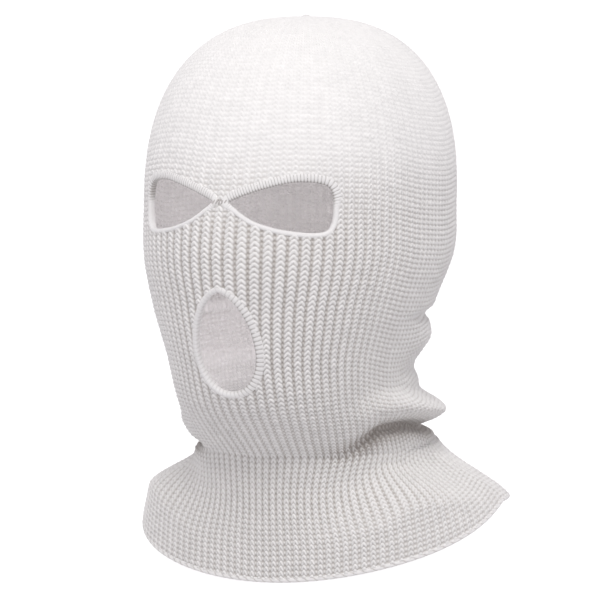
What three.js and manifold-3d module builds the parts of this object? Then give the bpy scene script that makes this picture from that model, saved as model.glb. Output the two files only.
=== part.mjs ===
// Three-hole balaclava in 1x1 rib knit, as it sits on a head: millimetres, +Z up. The face looks
// towards -Y and +X is the wearer's left. The origin is where the crown rests on top of the head, on the
// inside of the knit. Drops are measured down from the outside of the crown.
import * as THREE from "three";
import { ParametricGeometry } from "three/addons/geometries/ParametricGeometry.js";
import { mergeVertices } from "three/addons/utils/BufferGeometryUtils.js";
import Module from "manifold-3d";

const wasm = await Module();
wasm.setup();

// Knit and clearances
const THICKNESS = 3.5; // of the rib knit
const GAP = 0.3; // between pieces that are sewn to each other

// Rings of the hood: half width, how far the centre sits back from the crown's axis, and the reach from that
// centre to the front and to the back
const HEAD = { halfWidth: 78, setBack: 3, front: 95, back: 95 }; // at the eye line, the widest ring
const NECK = { halfWidth: 61.5, setBack: 21, front: 72, back: 73 };
const HEM = { halfWidth: 102, setBack: 33, front: 84, back: 84 }; // the collar's lower edge
const OVAL_POWER = 2.2; // a ring is a superellipse, a little squarer than an ellipse

// Heights
const EYE_LINE_DROP = 98; // crown to the widest ring
const NECK_DROP = 228; // crown to the narrowest ring
const HEM_SIDE_DROP = 259; // crown to the hem where it lies on the shoulders
const HEM_FRONT_DIP = 36; // how much lower the hem hangs at the chest
const HEM_BACK_DIP = 20; // and at the back
const HEM_FRONT_POWER = 1.1; // how pointed the dip at the chest is
const SHOULDER_TURN = THREE.MathUtils.degToRad(95); // where on the ring the hem is highest
const DOME_POWER = 2.5; // roundness of the crown in side view
const CROWN_SET_BACK = 8; // the crown's axis, behind the middle of the head

// How the rings pass from head (0) to neck (1), in equal steps down
const TAPER = {
  halfWidth: [0, 0.03, 0.4, 0.91, 1.09, 1],
  setBack: [0, -0.06, -0.39, -0.44, 0.06, 1],
  front: [0, 0, 0.43, 0.65, 0.61, 1],
  back: [0, 0.05, 0.68, 1.05, 1.09, 1],
};

// Nose and mouth stand out of the oval of the head
const FACE = { standOut: 7, spread: 19, from: 66, full: 122, fades: 150, gone: 222 };

// The collar, in front, hangs from the neck, steps out over the collar bones and hangs again. On the
// shoulders and behind it slopes out all the way down, from the second of the two turns on. Ahead is what the
// middle of the chest adds.
const COLLAR_STEP = { belowNeck: 4, height: 22, aheadBelow: 12, aheadHeight: 12 };
const COLLAR_SLOPE = { aboveNeck: 2, shareInFront: 0.25, turns: [60, 110], rounding: 0.5 };
const CHEST_WIDTH = 0.5; // cosine of the turn where the middle of the chest ends

// Slack knit lies in rolls round the nape, with creases between them. Above and below are how far each
// reaches from its drop. Each fades out towards the face: it starts and is full at a turn from the front, in
// degrees. A drift lowers it as it comes forward.
const ROLLS = [
  { drop: 170, above: 13, below: 13, standOut: 5, starts: 70, full: 125, drift: 0 },
  { drop: 210, above: 13, below: 10, standOut: 12, starts: 30, full: 110, drift: 6 },
];
const CREASES = [
  { drop: 157, above: 5, below: 5, standOut: -3, starts: 70, full: 110, drift: 0 },
  { drop: 186, above: 8, below: 8, standOut: -2, starts: 65, full: 110, drift: 0 },
  { drop: 220.5, above: 5, below: 5, standOut: -5.5, starts: 20, full: 60, drift: 6 },
];
const DRIFT_TURNS = [40, 120]; // the drift is full at the first turn and gone at the second
const ROLL_INSIDE = 0.25; // a roll is slack knit, so little of it shows on the inside

// Eye holes: the finished edge, as the distance out from the middle of the face and the drop
const EYE = {
  inner: [6.5, 93.4],
  upper: [[22, 87], [38, 83.6]],
  outer: [[49.5, 85.6], [52, 90], [52, 105]],
  lower: [[49.5, 108.4], [34, 107.6], [18, 102.6]],
};
// Mouth hole: an egg, point up
const MOUTH = { halfWidth: 16.6, topDrop: 139.5, bottomDrop: 191.5, widestDrop: 170, pointed: 1.3 };

// Sewn edges
const EDGING_WIDTH = 4.5;
const EDGING_PROUD = 0.8; // how far the overlocked edge stands off the knit
const TACK = { halfWidth: 6.2, halfHeight: 1.9 };
const HEM_HEIGHT = 3.6; // of the bound-off chain
const HEM_PROUD = 0.3;
const CROWN_HOLE = 4; // radius of the gathered ring of stitches at the crown
const SEAM_RADIUS = 1.3; // of the linking ridge inside the back
const SEAM_CLEARANCE = 1.2; // between the ridge and the knit, which is faceted there
const YARN_KNOT_PROUD = 0.6;

// Fineness of the solids
const AROUND = 56;
const OUTSIDE_STEPS = [8, 32, 8]; // dome, head and neck, collar
const INSIDE_STEPS = [6, 20, 6];

const IVORY = 0xebe9e5;
const SHADED_IVORY = 0xdedad6;

// ---- Shape of the knit ----

const mix = THREE.MathUtils.lerp;
const smooth = THREE.MathUtils.smoothstep;
const clamp01 = (x) => THREE.MathUtils.clamp(x, 0, 1);

// Turn from the front, 0 to PI, whichever side it is on.
const turnOf = (phi) => Math.abs(Math.atan2(Math.sin(phi), Math.cos(phi)));
const degreesOf = (phi) => THREE.MathUtils.radToDeg(turnOf(phi));

// One hump of a cosine, 1 at its middle and 0 from its half width on.
const hump = (x) => (Math.abs(x) < 1 ? Math.cos((x * Math.PI) / 2) ** 2 : 0);

// A smooth curve through equally spaced values, with at from 0 to 1.
function through(values, at) {
  const last = values.length - 1;
  const x = clamp01(at) * last;
  const i = Math.min(Math.floor(x), last - 1);
  const before = i > 0 ? values[i - 1] : 2 * values[i] - values[i + 1];
  const after = i < last - 1 ? values[i + 2] : 2 * values[i + 1] - values[i];
  const f = x - i;
  const leave = (values[i + 1] - before) / 2;
  const arrive = (after - values[i]) / 2;
  return (
    (2 * f ** 3 - 3 * f ** 2 + 1) * values[i] +
    (f ** 3 - 2 * f ** 2 + f) * leave +
    (3 * f ** 2 - 2 * f ** 3) * values[i + 1] +
    (f ** 3 - f ** 2) * arrive
  );
}

// Distance from a ring's centre to the ring, at a turn phi from the front.
function reachOf(ring, phi) {
  const ahead = Math.cos(phi) > 0 ? ring.front : ring.back;
  const side = Math.abs(Math.sin(phi) / ring.halfWidth) ** OVAL_POWER;
  const depth = Math.abs(Math.cos(phi) / ahead) ** OVAL_POWER;
  return (side + depth) ** (-1 / OVAL_POWER);
}

function ringBetween(from, to, shares) {
  const ring = {};
  for (const key of Object.keys(HEAD)) ring[key] = mix(from[key], to[key], shares(key));
  return ring;
}

// Drop of the hem: highest on the shoulders, lower at the chest and the back.
function hemDrop(phi) {
  const turn = turnOf(phi);
  const front = Math.max(0, 1 - (turn / SHOULDER_TURN) ** 2) ** HEM_FRONT_POWER;
  const behind = clamp01((turn - SHOULDER_TURN) / (Math.PI - SHOULDER_TURN));
  const back = Math.sin((behind * Math.PI) / 2) ** 2;
  return HEM_SIDE_DROP + HEM_FRONT_DIP * front + HEM_BACK_DIP * back;
}

// Flare of the collar at a drop, 0 at the neck and 1 at full spread.
function flareAt(phi, drop) {
  const ahead = smooth(Math.cos(phi), CHEST_WIDTH, 1);
  const stepStart = NECK_DROP + COLLAR_STEP.belowNeck + COLLAR_STEP.aheadBelow * ahead;
  const stepHeight = COLLAR_STEP.height + COLLAR_STEP.aheadHeight * ahead;
  const step = smooth(drop, stepStart, stepStart + stepHeight);
  const slopeStart = NECK_DROP - COLLAR_SLOPE.aboveNeck;
  const straight = clamp01((drop - slopeStart) / (hemDrop(phi) - slopeStart));
  const slope = mix(straight, smooth(straight, 0, 1), COLLAR_SLOPE.rounding);
  const aside = smooth(degreesOf(phi), ...COLLAR_SLOPE.turns);
  return mix(step, slope, mix(COLLAR_SLOPE.shareInFront, 1, aside));
}

function foldsAt(phi, drop, folds) {
  const turn = degreesOf(phi);
  const forward = 1 - smooth(turn, ...DRIFT_TURNS);
  return folds.reduce((sum, fold) => {
    const under = drop - fold.drop - fold.drift * forward;
    const share = smooth(turn, fold.starts, fold.full);
    return sum + fold.standOut * share * hump(under / (under > 0 ? fold.below : fold.above));
  }, 0);
}

function faceAt(phi, drop) {
  const height = smooth(drop, FACE.from, FACE.full) * (1 - smooth(drop, FACE.fades, FACE.gone));
  return FACE.standOut * height * Math.exp(-((degreesOf(phi) / FACE.spread) ** 2));
}

// A point of the knit's outside. phi turns from the front towards the wearer's left; t runs down the knit:
// 0 to 1 over the dome, to 2 at the neck, to 3 at the hem. rollShare is how much of each roll shows.
function knitPoint(phi, t, rollShare = 1) {
  let drop, ring;
  if (t < 1) {
    const alpha = (t * Math.PI) / 2;
    const fall = 1 - Math.cos(alpha) ** (2 / DOME_POWER);
    const spread = Math.sin(alpha) ** (2 / DOME_POWER);
    drop = EYE_LINE_DROP * fall;
    ring = ringBetween({ halfWidth: 0, setBack: 0, front: 0, back: 0 }, HEAD, () => spread);
    ring.setBack = mix(CROWN_SET_BACK, HEAD.setBack, fall);
  } else {
    drop = t < 2 ? mix(EYE_LINE_DROP, NECK_DROP, t - 1) : mix(NECK_DROP, hemDrop(phi), t - 2);
    ring = ringBetween(HEAD, NECK, (key) => through(TAPER[key], t - 1));
  }
  let reach = reachOf(ring, phi);
  let setBack = ring.setBack;
  if (t > 2) {
    const flare = flareAt(phi, drop);
    reach = mix(reach, reachOf(HEM, phi), flare);
    setBack = mix(setBack, HEM.setBack, flare);
  }
  if (t > 1) reach += rollShare * foldsAt(phi, drop, ROLLS) + foldsAt(phi, drop, CREASES);
  reach += faceAt(phi, drop);
  return new THREE.Vector3(
    reach * Math.sin(phi),
    setBack - reach * Math.cos(phi),
    THICKNESS - drop,
  );
}

// The way down the knit and the way out of it, at a point, and how many millimetres t = 1 is there.
function knitFrame(phi, t, rollShare = 1) {
  const step = 0.004;
  const high = Math.min(t + step, 3);
  const down = knitPoint(phi, high, rollShare).sub(knitPoint(phi, high - 2 * step, rollShare));
  const round = knitPoint(phi + step, t, rollShare).sub(knitPoint(phi - step, t, rollShare));
  const speed = down.length() / (2 * step);
  const out = new THREE.Vector3().crossVectors(down, round).normalize();
  return { down: down.normalize(), out, speed };
}

// A point at a depth under the outside, square to it.
function underKnit(phi, t, depth) {
  const rollShare = depth > 0 ? ROLL_INSIDE : 1;
  const { out } = knitFrame(phi, t, rollShare);
  return knitPoint(phi, t, rollShare).addScaledVector(out, -depth);
}

// t of the place on the collar that is a length above the hem.
const aboveHem = (phi, length) => 3 - length / knitFrame(phi, 3).speed;

// t of the ring of stitches that the crown yarn gathers.
const CROWN_T = (Math.asin((CROWN_HOLE / HEAD.halfWidth) ** (DOME_POWER / 2)) * 2) / Math.PI;

// ---- Solids ----

function toSolid(geometry) {
  const bare = geometry.clone();
  bare.deleteAttribute("normal");
  bare.deleteAttribute("uv");
  const merged = mergeVertices(bare, 1e-4);
  return new wasm.Manifold(
    new wasm.Mesh({
      numProp: 3,
      vertProperties: merged.attributes.position.array,
      triVerts: new Uint32Array(merged.index.array),
    }),
  );
}

function toGeometry(solid) {
  const mesh = solid.getMesh();
  const geometry = new THREE.BufferGeometry();
  geometry.setAttribute("position", new THREE.BufferAttribute(mesh.vertProperties, 3));
  geometry.setIndex(new THREE.BufferAttribute(mesh.triVerts, 1));
  geometry.computeVertexNormals();
  return geometry;
}

// Closed skin round the hood, through a loop of courses. Each course gives its point at a turn phi.
function loopOfCourses(courses) {
  const skin = (u, v, target) => {
    const course = courses[Math.round(v * courses.length) % courses.length];
    const slice = Math.round(u * AROUND) % AROUND; // the last slice closes on the first
    target.copy(course((-slice / AROUND) * 2 * Math.PI));
  };
  return toSolid(new ParametricGeometry(skin, AROUND, courses.length));
}

// Shares 0 to 3 of the way down, in the given numbers of steps for the dome, the head and neck, and the
// collar.
function stepsDown(counts) {
  return counts.flatMap((count, part) => Array.from({ length: count }, (_, i) => part + i / count));
}

// A point of the collar's edge: up from the middle of the hem chain, and out from the middle of the knit.
function hemPoint(phi, up, outwards) {
  const t = aboveHem(phi, HEM_HEIGHT / 2);
  const { down, out } = knitFrame(phi, t);
  return underKnit(phi, t, THICKNESS / 2).addScaledVector(down, -up).addScaledVector(out, outwards);
}

// The hood as a shell, open at the hem and at the crown's ring. Proud grows it outwards.
function hoodShell(proud) {
  const skinAt = (steps, depth) =>
    stepsDown(steps).map((share) => (phi) => {
      const lastT = aboveHem(phi, HEM_HEIGHT + GAP);
      return underKnit(phi, mix(CROWN_T, lastT, share / 3), depth);
    });
  const edgeAt = (outwards) => (phi) => hemPoint(phi, HEM_HEIGHT / 2 + GAP, outwards);
  return loopOfCourses([
    ...skinAt(OUTSIDE_STEPS, -proud),
    edgeAt(THICKNESS / 2 + proud),
    edgeAt(-THICKNESS / 2),
    ...skinAt(INSIDE_STEPS, THICKNESS).reverse(),
  ]);
}

// Prism through the front of the hood, from an outline of points [x, z].
function frontCutter(outline) {
  const shape = new THREE.Shape(outline.map(([x, z]) => new THREE.Vector2(x, z)));
  const depth = 2 * HEAD.front;
  const prism = new THREE.ExtrudeGeometry(shape, { depth, bevelEnabled: false, steps: 1 });
  prism.rotateX(Math.PI / 2);
  return toSolid(prism);
}

// The turn at which the knit is x from the middle of the face, at a drop.
function turnAtX(x, t) {
  let low = 0;
  let high = Math.PI / 2;
  for (let i = 0; i < 30; i++) {
    const middle = (low + high) / 2;
    if (knitPoint(middle, t).x < Math.abs(x)) low = middle;
    else high = middle;
  }
  return Math.sign(x) * low;
}

function tAtDrop(drop) {
  if (drop > EYE_LINE_DROP) return 1 + (drop - EYE_LINE_DROP) / (NECK_DROP - EYE_LINE_DROP);
  return (Math.acos((1 - drop / EYE_LINE_DROP) ** (DOME_POWER / 2)) * 2) / Math.PI;
}

// An outline moved outwards along the knit by a distance, seen from the front again.
function grown(outline, distance) {
  return outline.map(([x, z], i) => {
    const before = outline.at(i - 1);
    const after = outline[(i + 1) % outline.length];
    const t = tAtDrop(THICKNESS - z);
    const { out } = knitFrame(turnAtX(x, t), t);
    const along = new THREE.Vector2(after[0] - before[0], after[1] - before[1]);
    const onKnit = new THREE.Vector3(along.x, 0, along.y);
    onKnit.y = -(out.x * along.x + out.z * along.y) / out.y;
    const away = onKnit.normalize().cross(out).multiplyScalar(distance);
    return [x + away.x, z + away.z];
  });
}

// ---- Outlines of the holes, anticlockwise from the front ----

const OUTLINE_POINTS = 56;

function smoothOutline(corners) {
  const points = corners.map(([x, drop]) => new THREE.Vector2(x, THICKNESS - drop));
  const turned = points.map((p) => new THREE.Vector3(p.x, p.y, 0));
  const curve = new THREE.CatmullRomCurve3(turned, true, "centripetal");
  return curve.getSpacedPoints(OUTLINE_POINTS).slice(0, -1).map((p) => [p.x, p.y]);
}

function eyeOutline(side) {
  const corners = [EYE.inner, ...EYE.upper, ...EYE.outer, ...EYE.lower];
  const placed = corners.map(([x, drop]) => [side * x, drop]);
  return smoothOutline(side > 0 ? placed.reverse() : placed);
}

function mouthOutline() {
  return Array.from({ length: OUTLINE_POINTS }, (_, i) => {
    const angle = (i / OUTLINE_POINTS) * 2 * Math.PI;
    const upper = Math.sin(angle) > 0;
    const farDrop = upper ? MOUTH.topDrop : MOUTH.bottomDrop;
    const drop = mix(MOUTH.widestDrop, farDrop, Math.abs(Math.sin(angle)));
    const narrowing = Math.abs(Math.cos(angle)) ** (upper ? MOUTH.pointed : 1);
    return [MOUTH.halfWidth * Math.sign(Math.cos(angle)) * narrowing, THICKNESS - drop];
  });
}

function tackOutline(gap) {
  const { halfWidth, halfHeight } = TACK;
  const middle = THICKNESS - EYE.inner[1];
  const x = halfWidth + gap;
  const z = halfHeight + gap;
  return [[x, middle - z], [x, middle + z], [-x, middle + z], [-x, middle - z]];
}

// ---- Pieces ----

const HOLES = {
  left_eye_edging: eyeOutline(1),
  right_eye_edging: eyeOutline(-1),
  mouth_edging: mouthOutline(),
};

function knitHood() {
  const cutters = Object.values(HOLES).map((hole) => frontCutter(grown(hole, EDGING_WIDTH + GAP)));
  cutters.push(frontCutter(tackOutline(GAP)));
  return cutters.reduce((hood, cutter) => hood.subtract(cutter), hoodShell(0));
}

// A band of overlock round a hole, cut from a slightly thicker shell.
function edging(hole, thickShell) {
  const band = thickShell.intersect(frontCutter(grown(hole, EDGING_WIDTH)));
  return band.subtract(frontCutter(hole)).subtract(frontCutter(tackOutline(GAP)));
}

function noseBridgeTack(thickShell) {
  return thickShell.intersect(frontCutter(tackOutline(0)));
}

// The bound-off chain: a flat rope with a rounded section, all the way round the lower edge.
function hemBindOff() {
  const corners = 8;
  const angles = Array.from({ length: corners }, (_, i) => (i / corners) * 2 * Math.PI);
  return loopOfCourses(
    angles.map((angle) => (phi) => {
      const up = (HEM_HEIGHT / 2) * Math.cos(angle);
      return hemPoint(phi, up, (THICKNESS / 2 + HEM_PROUD) * Math.sin(angle));
    }),
  );
}

// The yarn that draws the last course together fills the ring of stitches at the crown.
function crownGatherYarn() {
  const radius = CROWN_HOLE - GAP;
  const top = THICKNESS + YARN_KNOT_PROUD;
  const profile = [
    [0, GAP],
    [radius * 0.8, GAP],
    [radius, THICKNESS * 0.4],
    [radius, THICKNESS * 0.8],
    [radius * 0.7, top],
    [0, top],
  ].map(([r, z]) => new THREE.Vector2(r, z));
  const knot = new THREE.LatheGeometry(profile, 24);
  knot.rotateX(Math.PI / 2);
  knot.translate(0, CROWN_SET_BACK, 0);
  return toSolid(knot);
}

// The linking ridge: a rounded cord down the middle of the back, against the inside of the knit.
function backSeam() {
  const depth = THICKNESS + SEAM_CLEARANCE + SEAM_RADIUS;
  const last = aboveHem(Math.PI, HEM_HEIGHT + GAP);
  const courses = stepsDown(INSIDE_STEPS).map((share) => mix(CROWN_T, last, share / 3));
  const points = courses.slice(1).map((t) => underKnit(Math.PI, t, depth));
  const section = new THREE.Shape().absarc(0, 0, SEAM_RADIUS, 0, 2 * Math.PI);
  return toSolid(
    new THREE.ExtrudeGeometry(section, {
      steps: 2 * points.length,
      curveSegments: 4,
      extrudePath: new THREE.CatmullRomCurve3(points),
      bevelEnabled: false,
    }),
  );
}

function piece(name, solid, colour) {
  const material = new THREE.MeshStandardMaterial({ color: colour, roughness: 0.95, metalness: 0 });
  const mesh = new THREE.Mesh(toGeometry(solid), material);
  mesh.name = name;
  return mesh;
}

const balaclava = new THREE.Group();
const thickShell = hoodShell(EDGING_PROUD);
balaclava.add(piece("knit_hood", knitHood(), IVORY));
for (const [name, hole] of Object.entries(HOLES)) {
  balaclava.add(piece(name, edging(hole, thickShell), IVORY));
}
balaclava.add(piece("nose_bridge_tack", noseBridgeTack(thickShell), SHADED_IVORY));
balaclava.add(piece("hem_bind_off", hemBindOff(), IVORY));
balaclava.add(piece("crown_gather_yarn", crownGatherYarn(), SHADED_IVORY));
balaclava.add(piece("back_seam", backSeam(), SHADED_IVORY));

export default balaclava;
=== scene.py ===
"""Looks of the rib-knit balaclava: every stitch in relief, sewn edges, soft studio light.

Lengths in the shape functions are millimetres; mesh_piece turns them into metres. The face looks towards -Y,
+X is the wearer's left, and drops are measured down from the outside of the crown.
"""

import math

import bpy
import numpy as np
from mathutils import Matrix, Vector


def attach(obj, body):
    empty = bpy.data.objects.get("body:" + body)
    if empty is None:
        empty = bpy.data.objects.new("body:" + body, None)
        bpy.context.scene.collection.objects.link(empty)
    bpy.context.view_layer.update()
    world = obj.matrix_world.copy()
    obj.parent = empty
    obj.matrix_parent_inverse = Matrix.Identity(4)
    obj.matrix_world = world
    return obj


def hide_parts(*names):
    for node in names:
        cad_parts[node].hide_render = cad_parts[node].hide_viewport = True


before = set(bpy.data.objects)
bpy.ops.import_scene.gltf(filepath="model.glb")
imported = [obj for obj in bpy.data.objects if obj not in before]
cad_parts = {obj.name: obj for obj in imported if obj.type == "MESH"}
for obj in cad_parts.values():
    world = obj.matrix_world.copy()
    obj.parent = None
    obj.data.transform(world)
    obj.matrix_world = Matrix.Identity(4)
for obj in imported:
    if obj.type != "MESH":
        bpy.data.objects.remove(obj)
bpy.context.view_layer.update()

MM = 0.001
TAU = 2 * math.pi

# ---- Sizes: the CAD part's, apart from the sharper inner tips of the eye holes ----

THICKNESS = 3.5
HEAD = {"half_width": 78, "set_back": 3, "front": 95, "back": 95}
NECK = {"half_width": 61.5, "set_back": 21, "front": 72, "back": 73}
HEM = {"half_width": 102, "set_back": 33, "front": 84, "back": 84}
OVAL_POWER = 2.2
EYE_LINE_DROP = 98
NECK_DROP = 228
HEM_SIDE_DROP = 259
HEM_FRONT_DIP = 36
HEM_BACK_DIP = 20
HEM_FRONT_POWER = 1.1
SHOULDER_TURN = math.radians(95)
DOME_POWER = 2.5
CROWN_SET_BACK = 8
TAPER = {
    "half_width": [0, 0.03, 0.4, 0.91, 1.09, 1],
    "set_back": [0, -0.06, -0.39, -0.44, 0.06, 1],
    "front": [0, 0, 0.43, 0.65, 0.61, 1],
    "back": [0, 0.05, 0.68, 1.05, 1.09, 1],
}
FACE = {"stand_out": 7, "spread": 19, "from": 66, "full": 122, "fades": 150, "gone": 222}
COLLAR_STEP = {"below_neck": 4, "height": 22, "ahead_below": 12, "ahead_height": 12}
COLLAR_SLOPE = {"above_neck": 2, "share_in_front": 0.25, "turns": (60, 110), "rounding": 0.5}
CHEST_WIDTH = 0.5
ROLLS = [
    {"drop": 170, "above": 13, "below": 13, "stand_out": 5, "starts": 70, "full": 125, "sweep": 0},
    {"drop": 210, "above": 13, "below": 10, "stand_out": 12, "starts": 30, "full": 110, "sweep": 1},
]
CREASES = [
    {"drop": 157, "above": 5, "below": 5, "stand_out": -3, "starts": 70, "full": 110, "sweep": 0},
    {"drop": 186, "above": 8, "below": 8, "stand_out": -2, "starts": 65, "full": 110, "sweep": 0},
    {"drop": 220.5, "above": 5, "below": 5, "stand_out": -5.5, "starts": 20, "full": 60, "sweep": 1},
]
ROLL_INSIDE = 0.25
EYE_UPPER = [(4.6, 93.5), (5.4, 93), (13, 90), (22, 87), (38, 83.6), (49.5, 85.6), (52, 90)]
EYE_LOWER = [(52, 105), (49.5, 108.4), (34, 107.6), (18, 102.6), (8, 96.2), (5.4, 94)]
MOUTH = {"half_width": 16.6, "top": 139.5, "widest": 170, "bottom": 191.5, "pointed": 1.3}
CROWN_HOLE = 4

# ---- Drape: what hangs unevenly here and evenly in the CAD part ----

HEM_TILT = 2  # the collar hangs a little lower on the wearer's right
# How much lower than at the nape the roll over the collar lies: its amount in mm, full at the first turn and
# gone at the second. On the wearer's left it first rides up.
SWEEP_RIGHT = {"amount": 6, "turns": (40, 120)}
SWEEP_LEFT = {"amount": 12, "turns": (30, 65)}
SWEEP_LEFT_RISE = {"amount": 6, "turns": (75, 120)}

# ---- Knit ----

RIBS = 112
ROWS = 135
RIB_PITCH = 4.9
ROW_PITCH = 2.6
STEPS_PER_RIB = 12
STEPS_PER_ROW = 6
LOOP_HEIGHT = 1.05
BED_DEPTH = 1.1  # what the loops stand on
CLOSED_TROUGH = 1.3  # between ribs that lie against each other
OPEN_TROUGH = 1.9  # between ribs that are pulled apart
HEAD_STRETCH = 0.18  # how much further apart the ribs are over the face than on average
COLLAR_STRETCH = -0.12
EDGING_WIDTH = 4.5  # where the threads lie flat
EDGING_ROLLED = 2.5  # where the edge rolls under
EYE_WHIP_PITCH = 1.4
MOUTH_WHIP_PITCH = 2.1
HEM_LINK_STEPS = 10  # fineness of each link of the bound-off chain
TACK_HALF_HEIGHT = 1.3
TACK_HALF_WIDTH = 3.2
TACK_TURNS = 5
SEAM_RADIUS = 1.3


def mix(a, b, share):
    return a + (b - a) * share


def smooth(x, low, high):
    share = np.clip((x - low) / (high - low), 0, 1)
    return share * share * (3 - 2 * share)


def turn_of(phi):
    """Turn from the front, 0 to pi, whichever side it is on."""
    return np.abs((phi + math.pi) % TAU - math.pi)


def hump(x):
    """One hump of a cosine, 1 at its middle and 0 from its half width on."""
    return np.cos(np.clip(x, -1, 1) * math.pi / 2) ** 2


def through(values, at):
    """A smooth curve through equally spaced values, with at from 0 to 1."""
    values = np.array(values, float)
    last = len(values) - 1
    x = np.clip(at, 0, 1) * last
    i = np.minimum(x.astype(int), last - 1)
    padded = np.concatenate([[2 * values[0] - values[1]], values, [2 * values[-1] - values[-2]]])
    before, here, there, after = padded[i], padded[i + 1], padded[i + 2], padded[i + 3]
    f = x - i
    leave = (there - before) / 2
    arrive = (after - here) / 2
    rise = 3 * f**2 - 2 * f**3
    return here * (1 - rise) + there * rise + leave * (f**3 - 2 * f**2 + f) + arrive * (f**3 - f**2)


def reach_of(ring, phi):
    """Distance from a ring's centre to the ring, at a turn phi from the front."""
    ahead = np.where(np.cos(phi) > 0, ring["front"], ring["back"])
    side = np.abs(np.sin(phi) / ring["half_width"]) ** OVAL_POWER
    depth = np.abs(np.cos(phi) / ahead) ** OVAL_POWER
    return (side + depth) ** (-1 / OVAL_POWER)


def hem_drop(phi):
    """Drop of the hem: highest on the shoulders, lower at the chest and the back."""
    turn = turn_of(phi)
    front = np.clip(1 - (turn / SHOULDER_TURN) ** 2, 0, 1) ** HEM_FRONT_POWER
    behind = np.clip((turn - SHOULDER_TURN) / (math.pi - SHOULDER_TURN), 0, 1)
    dips = HEM_FRONT_DIP * front + HEM_BACK_DIP * np.sin(behind * math.pi / 2) ** 2
    return HEM_SIDE_DROP + dips - HEM_TILT * np.sin(phi)


def flare_at(phi, drop):
    """Flare of the collar, 0 at the neck and 1 at full spread."""
    ahead = smooth(np.cos(phi), CHEST_WIDTH, 1)
    step_start = NECK_DROP + COLLAR_STEP["below_neck"] + COLLAR_STEP["ahead_below"] * ahead
    step = smooth(drop, step_start, step_start + COLLAR_STEP["height"] + COLLAR_STEP["ahead_height"] * ahead)
    slope_start = NECK_DROP - COLLAR_SLOPE["above_neck"]
    straight = np.clip((drop - slope_start) / (hem_drop(phi) - slope_start), 0, 1)
    slope = mix(straight, smooth(straight, 0, 1), COLLAR_SLOPE["rounding"])
    aside = smooth(np.degrees(turn_of(phi)), *COLLAR_SLOPE["turns"])
    return mix(step, slope, mix(COLLAR_SLOPE["share_in_front"], 1, aside))


def fold_sweep(phi):
    """How much lower than at the nape the roll over the collar lies, in mm."""
    turn = np.degrees(turn_of(phi))
    sweeps = (SWEEP_RIGHT, SWEEP_LEFT, SWEEP_LEFT_RISE)
    right, left, rise = (part["amount"] * (1 - smooth(turn, *part["turns"])) for part in sweeps)
    return np.where(np.sin(phi) > 0, left - rise, right)


def folds_at(phi, drop, folds):
    """How far the folds stand out of the rings, in mm."""
    turn = np.degrees(turn_of(phi))
    total = 0
    for fold in folds:
        under = drop - fold["drop"] - fold["sweep"] * fold_sweep(phi)
        half = np.where(under > 0, fold["below"], fold["above"])
        share = smooth(turn, fold["starts"], fold["full"])
        total = total + fold["stand_out"] * share * hump(under / half)
    return total


def face_at(phi, drop):
    """Nose and mouth stand out of the oval of the head."""
    height = smooth(drop, FACE["from"], FACE["full"]) * (1 - smooth(drop, FACE["fades"], FACE["gone"]))
    return FACE["stand_out"] * height * np.exp(-((np.degrees(turn_of(phi)) / FACE["spread"]) ** 2))


def knit_point(phi, t, roll_share=1.0):
    """A point of the knit's outside. t runs down: to 1 over the dome, to 2 at the neck, to 3 at the hem."""
    phi, t = np.broadcast_arrays(np.asarray(phi, float), np.asarray(t, float))
    dome_angle = np.clip(t, 0, 1) * math.pi / 2
    fall = 1 - np.clip(np.cos(dome_angle), 0, 1) ** (2 / DOME_POWER)
    spread = np.sin(dome_angle) ** (2 / DOME_POWER)
    body = np.clip(t - 1, 0, 1)
    collar = np.clip(t - 2, 0, 1)
    drop = EYE_LINE_DROP * fall + (NECK_DROP - EYE_LINE_DROP) * body + (hem_drop(phi) - NECK_DROP) * collar
    ring = {key: mix(HEAD[key], NECK[key], through(TAPER[key], body)) for key in HEAD}
    set_back = np.where(t < 1, mix(CROWN_SET_BACK, HEAD["set_back"], fall), ring["set_back"])
    flare = np.where(t > 2, flare_at(phi, drop), 0)
    set_back = mix(set_back, HEM["set_back"], flare)
    reach = spread * mix(reach_of(ring, phi), reach_of(HEM, phi), flare)
    folds = roll_share * folds_at(phi, drop, ROLLS) + folds_at(phi, drop, CREASES)
    reach = reach + np.where(t > 1, folds, 0) + face_at(phi, drop)
    return np.stack([reach * np.sin(phi), set_back - reach * np.cos(phi), THICKNESS - drop], -1)


def unit(vectors):
    """The vectors at length 1."""
    return vectors / np.maximum(np.linalg.norm(vectors, axis=-1, keepdims=True), 1e-9)


def outward(phi, t, roll_share=1.0):
    """The way out of the knit, square to it."""
    step = 0.004
    high = np.minimum(t + step, 3)
    down = knit_point(phi, high, roll_share) - knit_point(phi, high - 2 * step, roll_share)
    round_it = knit_point(phi + step, t, roll_share) - knit_point(phi - step, t, roll_share)
    return unit(np.cross(down, round_it))


# ---- Stitches ----


def loop_height(across, along, open_share):
    """Height of the knit loops, from 0 to 1; across and along are mm from the middle of a stitch."""
    apex = 0.2
    spread = mix(0.7, 1.5, open_share)
    rise = ROW_PITCH * mix(0.55, 0.76, open_share)
    yarn = mix(0.52, 0.66, open_share)
    best = 0
    for row in (-1, 0, 1):
        x = np.abs(across) - apex
        y = rise / 2 - along - row * ROW_PITCH
        share = np.clip((x * spread + y * rise) / (spread**2 + rise**2), 0, 1)
        gap = np.hypot(x - share * spread, y - share * rise)
        round_yarn = np.sqrt(np.clip(1 - (gap / yarn) ** 2, 0, 1))
        best = np.maximum(best, round_yarn * (1 - 0.3 * share))
    return best


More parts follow.
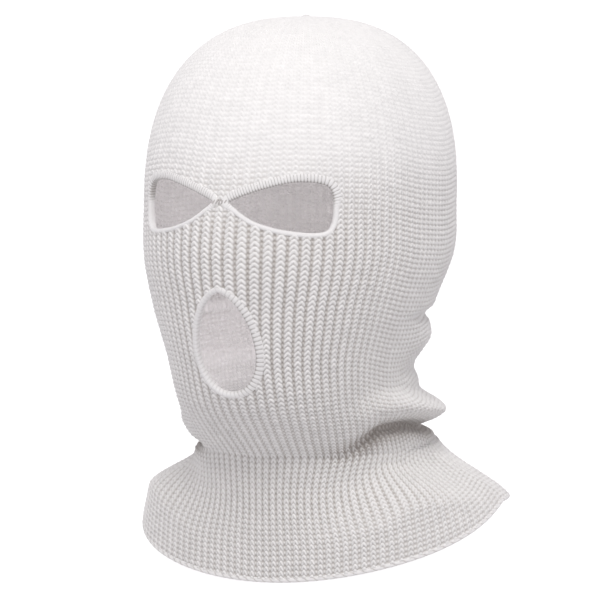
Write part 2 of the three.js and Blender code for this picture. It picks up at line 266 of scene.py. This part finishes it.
def openness(phi, t):
    """How far the ribs are pulled apart: most on the cheeks and the nose, least on the side and the back."""
    turn = np.degrees(turn_of(phi))
    front = np.exp(-((turn / 52) ** 4))
    cheek = front * smooth(t, 0.95, 1.15) * (1 - smooth(t, 1.6, 1.95))
    neck = smooth(t, 1.75, 2.05) * (1 - smooth(t, 2.3, 2.6))
    collar = 0.3 * front * smooth(t, 2.2, 2.5)
    return np.clip(0.12 + 0.88 * cheek + 0.5 * neck + collar, 0, 1)


def rib_relief(rib, row, open_share):
    """Height of one face of the knit under its outer skin, in mm, and how deep in a groove each point is,
    which sets the painted shade there.
    """
    off_rib = rib - np.round(rib)
    across = off_rib * RIB_PITCH
    along = (np.round(row) - row) * ROW_PITCH
    side = 2 * np.abs(off_rib)
    trough = mix(CLOSED_TROUGH, OPEN_TROUGH, open_share)
    floor = -mix(BED_DEPTH, trough, smooth(side, 0.55, 0.9))
    bump_row = np.cos(math.pi * along / ROW_PITCH) ** 2
    bars = mix(1.1, 0.8, open_share) * bump_row * smooth(side, mix(0.6, 0.72, open_share), 0.95)
    height = floor + np.maximum(LOOP_HEIGHT * loop_height(across, along, open_share), bars)
    return height, np.clip(-height / OPEN_TROUGH, 0, 1)


def crease_shade(phi, t):
    """How much less light gets into the fold over the collar, from 0 to 1."""
    drop = THICKNESS - knit_point(phi, t)[..., 2]
    fold = {**CREASES[-1], "stand_out": 1, "above": 7, "below": 12}
    return folds_at(phi, drop, [fold])


def wobble(rng, size, waves, strength):
    """A slow random wave round a closed row."""
    angle = np.arange(size) / size * TAU
    total = np.zeros(size)
    for wave in range(1, waves + 1):
        total += rng.normal() * np.cos(wave * angle + rng.uniform(0, TAU)) / wave**0.5
    return strength * total


def wale_phi(even_phi, t):
    """Where a wale runs: the ribs are stretched apart over the face and lie closer at the chest."""
    stretch = mix(HEAD_STRETCH, COLLAR_STRETCH, smooth(t, 1.4, 2.6))
    return even_phi + stretch * np.sin(even_phi)


def rows_at_even_lengths(even_phi, first, last):
    """t of each grid line, so that rows are evenly spaced down each wale."""
    t = np.linspace(first, last, 400)
    points = knit_point(wale_phi(even_phi[None, :], t[:, None]), t[:, None])
    lengths = np.linalg.norm(np.diff(points, axis=0), axis=-1)
    total = np.concatenate([np.zeros((1, len(even_phi))), np.cumsum(lengths, axis=0)])
    wanted = np.linspace(0, 1, ROWS * STEPS_PER_ROW + 1)
    return np.stack([np.interp(wanted * wale[-1], wale, t) for wale in total.T], 1)


def grid_outward(points):
    """The way out of a grid of points that is closed across its columns."""
    down = np.gradient(points, axis=0)
    round_it = np.roll(points, -1, 1) - np.roll(points, 1, 1)
    return unit(np.cross(down, round_it))


CROWN_T = math.asin((CROWN_HOLE / HEAD["half_width"]) ** (DOME_POWER / 2)) / (math.pi / 2)
HEM_T = 2.955


# ---- Holes ----


def smooth_outline(corners, count):
    """Closed centripetal curve through corners, at even lengths."""
    corners = np.array(corners, float)
    samples = []
    for i in range(len(corners)):
        a, b, c, d = (corners[(i + k) % len(corners)] for k in (-1, 0, 1, 2))
        chords = [max(np.linalg.norm(q - p), 1e-6) for p, q in ((a, b), (b, c), (c, d))]
        knots = np.cumsum([0] + [chord**0.5 for chord in chords])
        s = np.linspace(knots[1], knots[2], 40, endpoint=False)[:, None]
        ab = (a * (knots[1] - s) + b * s) / knots[1]
        bc = (b * (knots[2] - s) + c * (s - knots[1])) / (knots[2] - knots[1])
        cd = (c * (knots[3] - s) + d * (s - knots[2])) / (knots[3] - knots[2])
        abc = (ab * (knots[2] - s) + bc * s) / knots[2]
        bcd = (bc * (knots[3] - s) + cd * (s - knots[1])) / (knots[3] - knots[1])
        samples.append((abc * (knots[2] - s) + bcd * (s - knots[1])) / (knots[2] - knots[1]))
    return even_loop(np.concatenate(samples), count)


def even_loop(points, count):
    """Points at even lengths round a closed line."""
    closed = np.concatenate([points, points[:1]])
    lengths = np.concatenate([[0], np.cumsum(np.linalg.norm(np.diff(closed, axis=0), axis=1))])
    wanted = np.linspace(0, lengths[-1], count, endpoint=False)
    return np.stack([np.interp(wanted, lengths, closed[:, k]) for k in range(2)], 1)


def eye_outline(side, count=720):
    """Outline of an eye hole as x and z, anticlockwise from the front."""
    corners = [(side * x, THICKNESS - drop) for x, drop in EYE_UPPER + EYE_LOWER]
    return smooth_outline(corners[::-1] if side > 0 else corners, count)


def mouth_outline(count=720):
    """Outline of the mouth hole, an egg with its point up."""
    angle = np.linspace(0, TAU, 4 * count, endpoint=False)
    upper = np.sin(angle) > 0
    far = np.where(upper, MOUTH["top"], MOUTH["bottom"])
    drop = mix(MOUTH["widest"], far, np.abs(np.sin(angle)))
    narrowing = np.abs(np.cos(angle)) ** np.where(upper, MOUTH["pointed"], 1)
    x = MOUTH["half_width"] * np.sign(np.cos(angle)) * narrowing
    return even_loop(np.stack([x, THICKNESS - drop], 1), count)


HOLES = {
    "left_eye_edging": eye_outline(1),
    "right_eye_edging": eye_outline(-1),
    "mouth_edging": mouth_outline(),
}


def place_on_face(x, z):
    """phi and t of the knit's point at x and z on the front."""
    drop = THICKNESS - z
    dome = np.arccos(np.clip(1 - drop / EYE_LINE_DROP, 0, 1) ** (DOME_POWER / 2)) / (math.pi / 2)
    t = np.where(drop > EYE_LINE_DROP, 1 + (drop - EYE_LINE_DROP) / (NECK_DROP - EYE_LINE_DROP), dome)
    low = np.zeros_like(x)
    high = np.full_like(x, math.pi / 2)
    for _ in range(30):
        middle = (low + high) / 2
        short = knit_point(middle, t)[..., 0] < np.abs(x)
        low = np.where(short, middle, low)
        high = np.where(short, high, middle)
    return np.sign(x) * low, t


def away_from(outline):
    """For each point of an outline, the way along the knit away from the hole, seen from the front."""
    phi, t = place_on_face(outline[:, 0], outline[:, 1])
    out = outward(phi, t)
    along = np.roll(outline, -1, 0) - np.roll(outline, 1, 0)
    rise = -(out[:, 0] * along[:, 0] + out[:, 2] * along[:, 1]) / out[:, 1]
    on_knit = unit(np.stack([along[:, 0], rise, along[:, 1]], 1))
    away = np.cross(on_knit, out)
    return away[:, [0, 2]]


def inside(points, outline):
    """Which points lie inside a closed outline."""
    near = np.all((points > outline.min(0)) & (points < outline.max(0)), axis=1)
    x, z = points[near].T
    odd = np.zeros(len(x), bool)
    for (x0, z0), (x1, z1) in zip(outline, np.roll(outline, -1, 0)):
        crosses = (z0 > z) != (z1 > z)
        odd ^= crosses & (x < x0 + (z - z0) / (z1 - z0 + 1e-12) * (x1 - x0))
    result = np.zeros(len(points), bool)
    result[near] = odd
    return result


# ---- Meshes ----


def mesh_piece(name, points, faces, material, marks=None, uv=None):
    """An object from points in mm, quads or other faces, and named values at each point."""
    mesh = bpy.data.meshes.new(name)
    mesh.vertices.add(len(points))
    mesh.vertices.foreach_set("co", (points * MM).astype(np.float32).ravel())
    corners = faces.shape[1]
    mesh.loops.add(faces.size)
    mesh.loops.foreach_set("vertex_index", faces.astype(np.int32).ravel())
    mesh.polygons.add(len(faces))
    mesh.polygons.foreach_set("loop_start", np.arange(len(faces), dtype=np.int32) * corners)
    mesh.polygons.foreach_set("use_smooth", np.ones(len(faces), bool))
    for key, values in (marks or {}).items():
        mesh.attributes.new(key, "FLOAT", "POINT").data.foreach_set("value", values.astype(np.float32))
    if uv is not None:
        mesh.uv_layers.new(name="OFBake").data.foreach_set("uv", uv.astype(np.float32).ravel())
    mesh.update()
    mesh.validate()
    mesh.materials.append(material)
    piece = bpy.data.objects.new(name, mesh)
    bpy.context.scene.collection.objects.link(piece)
    return piece


def grid_faces(rows, columns, closed_rows):
    """Quads of a grid closed across its columns, and its rows too if asked. Down then round faces out."""
    last = rows if closed_rows else rows - 1
    j, i = np.meshgrid(np.arange(last), np.arange(columns), indexing="ij")
    below, beside = (j + 1) % rows, (i + 1) % columns
    corners = [(j, i), (below, i), (below, beside), (j, beside)]
    faces = np.stack([row * columns + column for row, column in corners], -1)
    u = np.stack([i, i, i + 1, i + 1], -1) / columns
    v = np.stack([j, j + 1, j + 1, j], -1) / last
    return faces.reshape(-1, 4), np.stack([u, v], -1).reshape(-1, 8)


# ---- Materials ----


def node(tree, kind, **inputs):
    """A shader node with constant inputs set by their names."""
    made = tree.nodes.new(kind)
    for key, value in inputs.items():
        made.inputs[key.replace("_", " ")].default_value = value
    return made


def yarn_material(name, lit, shade, sheen):
    """Matt acrylic yarn: lighter on the crests and darker in the grooves by painted shade, with fine fibres
    in the bump.
    """
    material = bpy.data.materials.new(name)
    material.use_nodes = True
    tree = material.node_tree
    surface = tree.nodes["Principled BSDF"]
    surface.inputs["Roughness"].default_value = 0.92
    surface.inputs["Specular IOR Level"].default_value = 0.25
    surface.inputs["Sheen Weight"].default_value = sheen
    surface.inputs["Sheen Roughness"].default_value = 0.45
    place = tree.nodes.new("ShaderNodeTexCoord")

    # Painted shade: the value at each point mixes the lit colour towards the shade colour.
    painted_shade = tree.nodes.new("ShaderNodeAttribute")
    painted_shade.attribute_name = "painted_shade"
    depth = tree.nodes.new("ShaderNodeValToRGB")
    depth.color_ramp.elements[0].position = 0.3
    depth.color_ramp.elements[0].color = (*lit, 1)
    depth.color_ramp.elements[1].position = 0.95
    depth.color_ramp.elements[1].color = (*shade, 1)
    tree.links.new(painted_shade.outputs["Fac"], depth.inputs["Fac"])

    stain = node(tree, "ShaderNodeTexNoise", Scale=28.0, Detail=3.0, Roughness=0.6)
    tree.links.new(place.outputs["Object"], stain.inputs["Vector"])
    tint = tree.nodes.new("ShaderNodeAttribute")
    tint.attribute_name = "tint"
    vary = tree.nodes.new("ShaderNodeMath")
    vary.operation = "MULTIPLY_ADD"
    vary.inputs[1].default_value = 0.07
    tree.links.new(stain.outputs["Fac"], vary.inputs[0])
    tree.links.new(tint.outputs["Fac"], vary.inputs[2])
    value = node(tree, "ShaderNodeHueSaturation")
    tree.links.new(depth.outputs["Color"], value.inputs["Color"])
    tree.links.new(vary.outputs["Value"], value.inputs["Value"])
    tree.links.new(value.outputs["Color"], surface.inputs["Base Color"])

    fibre = node(tree, "ShaderNodeTexNoise", Scale=2400.0, Detail=4.0, Roughness=0.7)
    ply = node(tree, "ShaderNodeTexNoise", Scale=700.0, Detail=2.0, Roughness=0.5)
    both = tree.nodes.new("ShaderNodeMath")
    both.operation = "ADD"
    for index, noise in enumerate((fibre, ply)):
        tree.links.new(place.outputs["Object"], noise.inputs["Vector"])
        tree.links.new(noise.outputs["Fac"], both.inputs[index])
    bump = node(tree, "ShaderNodeBump", Strength=0.5, Distance=0.00035)
    tree.links.new(both.outputs["Value"], bump.inputs["Height"])
    tree.links.new(bump.outputs["Normal"], surface.inputs["Normal"])
    rough = node(tree, "ShaderNodeMapRange", To_Min=0.84, To_Max=0.98)
    tree.links.new(fibre.outputs["Fac"], rough.inputs["Value"])
    tree.links.new(rough.outputs["Result"], surface.inputs["Roughness"])
    return material


# ---- Pieces ----


def knit_hood(material):
    """The hood: two faces of 1x1 rib, joined at the hem, at the crown's ring and round the holes."""
    rng = np.random.default_rng(7)
    columns = RIBS * STEPS_PER_RIB
    even_phi = np.arange(columns) / columns * TAU
    t = rows_at_even_lengths(even_phi, CROWN_T, HEM_T)
    phi = wale_phi(even_phi[None, :], t)
    rows = len(t)
    skin = knit_point(phi, t)
    inner_skin = knit_point(phi, t, ROLL_INSIDE)

    rib = np.arange(columns)[None, :] / STEPS_PER_RIB + 0.012 * np.sin(np.arange(rows)[:, None] * 0.11)
    row = np.arange(rows)[:, None] / STEPS_PER_ROW + wobble(rng, columns, 12, 0.12)[None, :]
    pitch = np.linalg.norm(np.roll(skin, -1, 1) - skin, axis=-1) * STEPS_PER_RIB
    fineness = smooth(pitch, 0.2, 3.2)
    open_share = openness(phi, t)

    # The second value is the painted shade in the grooves between the ribs.
    height, painted_shade = rib_relief(rib, row, open_share)
    calm = mix(0.5, 1, smooth(t, 0.8, 1.05))
    height, painted_shade = calm * height, calm * painted_shade
    stitches = rng.normal(0, 1, (ROWS + 2, RIBS))
    ribs = np.round(rib).astype(int) % RIBS
    courses = np.clip(np.round(row).astype(int), 0, ROWS + 1)
    uneven = stitches[courses, ribs]
    height = (height + 0.05 * uneven) * fineness
    outside = skin + grid_outward(skin) * height[..., None]

    # Painted shade in the fold over the collar is added to it, and the inside face gets painted shade in its
    # own grooves.
    painted_shade = np.clip(painted_shade + 0.6 * crease_shade(phi, t), 0, 1)
    back_height, back_painted_shade = rib_relief(rib + 0.5, row, open_share)
    depth = THICKNESS + back_height * fineness
    within = inner_skin - grid_outward(inner_skin) * depth[..., None]

    faces, uv = grid_faces(rows, columns, closed_rows=False)
    middle = skin.reshape(-1, 3)[faces].mean(1)
    keep = np.ones(len(faces), bool)
    for outline in HOLES.values():
        width = mix(EDGING_ROLLED, EDGING_WIDTH, flatness(outline))
        cut = outline + away_from(outline) * 0.5 * width[:, None]
        keep &= ~((middle[:, 1] < 0) & inside(middle[:, [0, 2]], cut))
    return join_faces(outside, within, faces, uv, keep, painted_shade, back_painted_shade, uneven, material)


def join_faces(outside, within, faces, uv, keep, painted_shade, back_painted_shade, uneven, material):
    """One closed mesh from both faces of the knit: the kept quads, and rims where the fabric ends."""
    rows, columns = painted_shade.shape
    count = rows * columns
    kept = keep.reshape(rows - 1, columns)
    above = np.vstack([np.zeros((1, columns), bool), kept[:-1]])
    below = np.vstack([kept[1:], np.zeros((1, columns), bool)])
    neighbours = [np.roll(kept, 1, 1), below, np.roll(kept, -1, 1), above]
    quads = faces.reshape(rows - 1, columns, 4)
    rims = []
    for side, other in enumerate(neighbours):
        edge = quads[kept & ~other]
        p, q = edge[:, side], edge[:, (side + 1) % 4]
        rims.append(np.stack([q, p, p + count, q + count], 1))
    rim = np.concatenate(rims)
    front, back = faces[keep], faces[keep][:, ::-1] + count
    all_faces = np.concatenate([front, back, rim])
    used, packed = np.unique(all_faces, return_inverse=True)
    points = np.concatenate([outside.reshape(-1, 3), within.reshape(-1, 3)])[used]
    tint = 0.965 + 0.015 * np.concatenate([uneven.ravel(), uneven.ravel()])[used]
    # The inside face keeps 0.35 of its painted groove shade.
    marks = {"painted_shade": np.concatenate([painted_shade.ravel(), 0.35 * back_painted_shade.ravel()])[used], "tint": tint}
    half = uv * np.tile([1, 0.49], 4)
    other_half = half[keep].reshape(-1, 4, 2)[:, ::-1].reshape(-1, 8) + np.tile([0, 0.5], 4)
    rim_uv = np.tile([0.0, 0.995, 0.001, 0.995, 0.001, 0.999, 0.0, 0.999], (len(rim), 1))
    all_uv = np.concatenate([half[keep], other_half, rim_uv])
    return mesh_piece("knit_hood", points, packed.reshape(-1, 4), material, marks, all_uv)


def thread_ridges(length, pitch):
    """Half-round threads lying side by side, from 0 in the groove to 1 on the crest."""
    across = 2 * (length / pitch % 1) - 1
    return np.sqrt(np.clip(1 - across**2, 0, 1))


def flatness(outline):
    """Where an edging lies flat and shows its threads: over the eyes, and on the mouth's left side."""
    x, z = outline.T
    if abs(x.mean()) > 1:
        return smooth(z, THICKNESS - 98, THICKNESS - 91)
    return 0.3 + 0.7 * smooth(x, -2, 13)


# Section of an edging: share of its width out from the hole, and depth under the knit's outside in mm
LIP = [
    (1, 1.4), (0.98, 0.7), (0.84, 0.3), (0.6, 0.15), (0.36, 0.25), (0.16, 0.6), (0.04, 1.1),
    (0, 1.75), (0.04, 2.6), (0.16, 3.3), (0.36, 3.7), (0.6, 3.8), (0.84, 3.65), (0.98, 3.2), (1, 2.3),
]  # fmt: skip


def edging(name, outline, material):
    """A band of overlocked yarn over the edge of a hole."""
    away = away_from(outline)
    flat = flatness(outline)
    width = mix(EDGING_ROLLED, EDGING_WIDTH, flat)
    steps = np.linalg.norm(np.roll(outline, -1, 0) - outline, axis=1)
    length = np.concatenate([[0], np.cumsum(steps)[:-1]])
    pitch = EYE_WHIP_PITCH if "eye" in name else MOUTH_WHIP_PITCH
    pitch = steps.sum() / round(steps.sum() / pitch)
    points, marks = [], []
    for index, (share, depth) in enumerate(even_loop(np.array(LIP, float), 30)):
        x, z = (outline + away * (share * width)[:, None]).T
        phi, t = place_on_face(x, z)
        ridge = thread_ridges(length + 0.03 * index * pitch, pitch)
        lift = mix(0.1, 0.4, flat) * (ridge - 0.6)
        depth = depth - lift * np.sign(THICKNESS / 2 - depth)
        points.append(knit_point(phi, t) - outward(phi, t) * depth[:, None])
        # Painted shade between the threads, stronger where the band lies flat, and a painted shadow along
        # the hole under the rolled lip.
        lip_shadow = smooth(depth, 0.2, 1) * (1 - share)
        marks.append(0.2 + mix(0.1, 0.75, flat) * (1 - ridge) + 0.4 * flat * lip_shadow)
    grid = np.array(points)
    faces, uv = grid_faces(len(grid), len(outline), closed_rows=True)
    marks = {"painted_shade": np.array(marks).ravel(), "tint": np.full(grid.shape[0] * grid.shape[1], 0.97)}
    return mesh_piece(name, grid.reshape(-1, 3), faces, material, marks, uv)


def hem_bind_off(material):
    """The bound-off chain along the collar's edge, one link to each rib."""
    columns = RIBS * HEM_LINK_STEPS
    phi = np.arange(columns) / columns * TAU
    middle = knit_point(phi, HEM_T + 0.012)
    out = outward(phi, HEM_T)
    along = unit(np.roll(middle, -1, 0) - np.roll(middle, 1, 0))
    up = np.cross(out, along)
    link = np.arange(columns) / HEM_LINK_STEPS
    rings, marks = [], []
    for angle in np.arange(16) / 16 * TAU:
        ridge = thread_ridges(link + 0.5 + 0.35 * math.cos(angle), 1)
        swell = 0.85 + 0.15 * ridge
        side = (THICKNESS / 2 - 0.3) * math.sin(angle) * swell
        rise = 1.4 * math.cos(angle) * swell
        rings.append(middle - out * (THICKNESS / 2) + out * side[:, None] + up * rise[:, None])
        # Painted shade between the chain's threads.
        marks.append(0.2 + 0.6 * (1 - ridge))
    grid = np.array(rings)
    faces, uv = grid_faces(len(grid), columns, closed_rows=True)
    marks = {"painted_shade": np.array(marks).ravel(), "tint": np.full(grid.shape[0] * columns, 0.96)}
    return mesh_piece("hem_bind_off", grid.reshape(-1, 3), faces, material, marks, uv)


def strand(path, radius, sides=10):
    """Points of a tube of yarn along an open path, its ends drawn to a point."""
    tangent = unit(np.gradient(path, axis=0))
    reference = np.array([0.0, 0.3, 1.0])
    first = unit(np.cross(tangent, reference))
    second = np.cross(tangent, first)
    rounding = np.sqrt(np.clip(1 - np.linspace(-1, 1, len(path)) ** 16, 0, 1))[:, None]
    angle = np.arange(sides) / sides * TAU
    rings = [path + radius * rounding * (first * math.cos(a) + second * math.sin(a)) for a in angle]
    return np.stack(rings, 1)


def yarn_piece(name, paths, radius, material, tint):
    """One piece from several strands."""
    points, faces, uvs = [], [], []
    start = 0
    for index, path in enumerate(paths):
        grid = strand(np.array(path, float), radius)
        quads, uv = grid_faces(grid.shape[0], grid.shape[1], closed_rows=False)
        points.append(grid.reshape(-1, 3))
        faces.append(quads[:, ::-1] + start)
        share = uv.reshape(-1, 4, 2)[:, ::-1].reshape(-1, 8)
        uvs.append(share * np.tile([1, 0.98 / len(paths)], 4) + np.tile([0, index / len(paths)], 4))
        start += grid.shape[0] * grid.shape[1]
    points = np.concatenate(points)
    marks = {"painted_shade": np.full(len(points), 0.35), "tint": np.full(len(points), tint)}
    return mesh_piece(name, points, np.concatenate(faces), material, marks, np.concatenate(uvs))


def nose_bridge_tack(material):
    """Five turns of thread that pinch the knit between the eyes. The thread is real; its darkness is painted
    shade of the gap between the eye edgings.
    """
    paths = []
    for x in np.linspace(-TACK_HALF_WIDTH, TACK_HALF_WIDTH, TACK_TURNS):
        angle = np.linspace(0, math.pi, 14)
        z = THICKNESS - EYE_UPPER[0][1] + TACK_HALF_HEIGHT * np.cos(angle)
        phi, t = place_on_face(np.full_like(z, x) + 0.7 * np.cos(angle), z)
        paths.append(knit_point(phi, t) + outward(phi, t) * (0.9 * np.sin(angle) - 1.2)[:, None])
    # Tint 0.8: painted shade of the gap between the eye edgings.
    return yarn_piece("nose_bridge_tack", paths, 0.4, material, 0.8)


def crown_gather_yarn(material):
    """The yarn drawn through the last course and knotted over the crown's ring."""
    turns = np.linspace(0, 2.2 * TAU, 90)
    radius = np.linspace(3.4, 0.6, 90)
    height = THICKNESS - 0.9 + 0.8 * np.sin(turns * 1.5) * 0.3 + np.linspace(0, 0.7, 90)
    coil = np.stack([radius * np.cos(turns), CROWN_SET_BACK + radius * np.sin(turns), height], 1)
    share = np.linspace(-1, 1, 20)
    across = np.stack([2.2 * share, CROWN_SET_BACK + 0.5 * share, THICKNESS + 0.2 - 0.8 * share**2], 1)
    return yarn_piece("crown_gather_yarn", [coil, across], 0.75, material, 0.95)


def back_seam(material):
    """The linking ridge down the inside of the back."""
    t = np.linspace(0.25, HEM_T - 0.02, 700)
    phi = np.full_like(t, math.pi)
    path = knit_point(phi, t, ROLL_INSIDE) - outward(phi, t, ROLL_INSIDE) * (THICKNESS + 1.5)
    return yarn_piece("back_seam", [path], SEAM_RADIUS, material, 0.95)


# ---- Studio ----


def area_light(name, place, aim, size, watts, colour):
    """A round soft light that faces its aim."""
    lamp = bpy.data.lights.new(name, "AREA")
    lamp.shape = "DISK"
    lamp.size = size
    lamp.energy = watts
    lamp.color = colour
    holder = bpy.data.objects.new(name, lamp)
    holder.location = place
    holder.rotation_euler = (Vector(aim) - Vector(place)).to_track_quat("-Z", "Y").to_euler()
    bpy.context.scene.collection.objects.link(holder)


def backdrop():
    """A white floor that curves up into a wall all round. It doesn't light the hood; the world does."""
    material = bpy.data.materials.new("paper")
    material.use_nodes = True
    surface = material.node_tree.nodes["Principled BSDF"]
    surface.inputs["Base Color"].default_value = (0.5, 0.5, 0.5, 1)
    surface.inputs["Roughness"].default_value = 0.9
    surface.inputs["Emission Color"].default_value = (1, 1, 1, 1)
    surface.inputs["Emission Strength"].default_value = 0.72
    bend = np.linspace(0, math.pi / 2, 12)
    radius = np.concatenate([[1], 2200 + 900 * np.sin(bend), [3100]])
    height = frame_floor() - 2 + np.concatenate([[0], 900 * (1 - np.cos(bend)), [3600]])
    angle = np.arange(72) / 72 * TAU
    points = np.stack(
        [radius[:, None] * np.cos(angle), radius[:, None] * np.sin(angle), height[:, None] + 0 * angle], -1
    )
    faces, _ = grid_faces(len(radius), len(angle), closed_rows=False)
    bowl = mesh_piece("backdrop", points.reshape(-1, 3), faces, material)
    bowl.visible_diffuse = False


def frame_floor():
    """Height of the lowest point of the hem, in mm."""
    return THICKNESS - HEM_SIDE_DROP - HEM_FRONT_DIP


VIEW_AZIMUTH = math.radians(25)
VIEW_ELEVATION = math.radians(5)
VIEW_DISTANCE = 1.5
VIEW_TARGET = Vector((-0.0029, 0.0066, -0.1476))


def camera():
    """The camera, to the wearer's left of the face and a little above it."""
    seen = bpy.data.cameras.new("camera")
    seen.lens = 168.2
    seen.sensor_width = 36
    holder = bpy.data.objects.new("camera", seen)
    back = Vector(
        (
            math.sin(VIEW_AZIMUTH) * math.cos(VIEW_ELEVATION),
            -math.cos(VIEW_AZIMUTH) * math.cos(VIEW_ELEVATION),
            math.sin(VIEW_ELEVATION),
        )
    )
    holder.location = VIEW_TARGET + back * VIEW_DISTANCE
    holder.rotation_euler = (-back).to_track_quat("-Z", "Y").to_euler()
    bpy.context.scene.collection.objects.link(holder)
    bpy.context.scene.camera = holder


def lights():
    """A soft key from the upper front, an even studio, and two small lamps that light the inside."""
    centre = (0, 0, -0.14)
    area_light("key", (0.5, -1.05, 1.35), centre, 0.9, 15, (1, 0.995, 0.985))
    for height in (-0.08, -0.18):
        inner = bpy.data.lights.new("inside", "POINT")
        inner.energy = 0.05
        inner.shadow_soft_size = 0.03
        inner.color = (0.99, 0.94, 1)
        holder = bpy.data.objects.new("inside", inner)
        holder.location = (0, 0, height)
        holder.visible_camera = False
        bpy.context.scene.collection.objects.link(holder)
    world = bpy.data.worlds.new("studio")
    world.use_nodes = True
    sky = world.node_tree.nodes["Background"]
    sky.inputs["Color"].default_value = (0.99, 0.965, 1, 1)
    sky.inputs["Strength"].default_value = 0.78
    bpy.context.scene.world = world
    bpy.context.scene.view_settings.view_transform = "Standard"


camera()
backdrop()
lights()
# The second colour of each material is its painted shade, for grooves, creases and gaps.
rib_knit = yarn_material("rib_knit", (0.83, 0.82, 0.805), (0.42, 0.385, 0.355), 0.3)
overlock = yarn_material("overlock_yarn", (0.79, 0.78, 0.77), (0.34, 0.32, 0.3), 0.25)
# The tack thread is real, but its dark colours are painted shade of the gap between the eye edgings.
thread = yarn_material("tack_thread", (0.62, 0.59, 0.57), (0.25, 0.23, 0.22), 0.15)

pieces = {
    "knit_hood": (knit_hood(rib_knit), "rib_knit"),
    **{name: (edging(name, outline, overlock), "overlock_yarn") for name, outline in HOLES.items()},
    "nose_bridge_tack": (nose_bridge_tack(thread), "tack_thread"),
    "hem_bind_off": (hem_bind_off(rib_knit), "rib_knit"),
    "crown_gather_yarn": (crown_gather_yarn(overlock), "overlock_yarn"),
    "back_seam": (back_seam(overlock), "overlock_yarn"),
}
for cad_node, (piece, slot) in pieces.items():
    piece.name = "knit." + cad_node
    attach(piece, "root")
    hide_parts(cad_node)
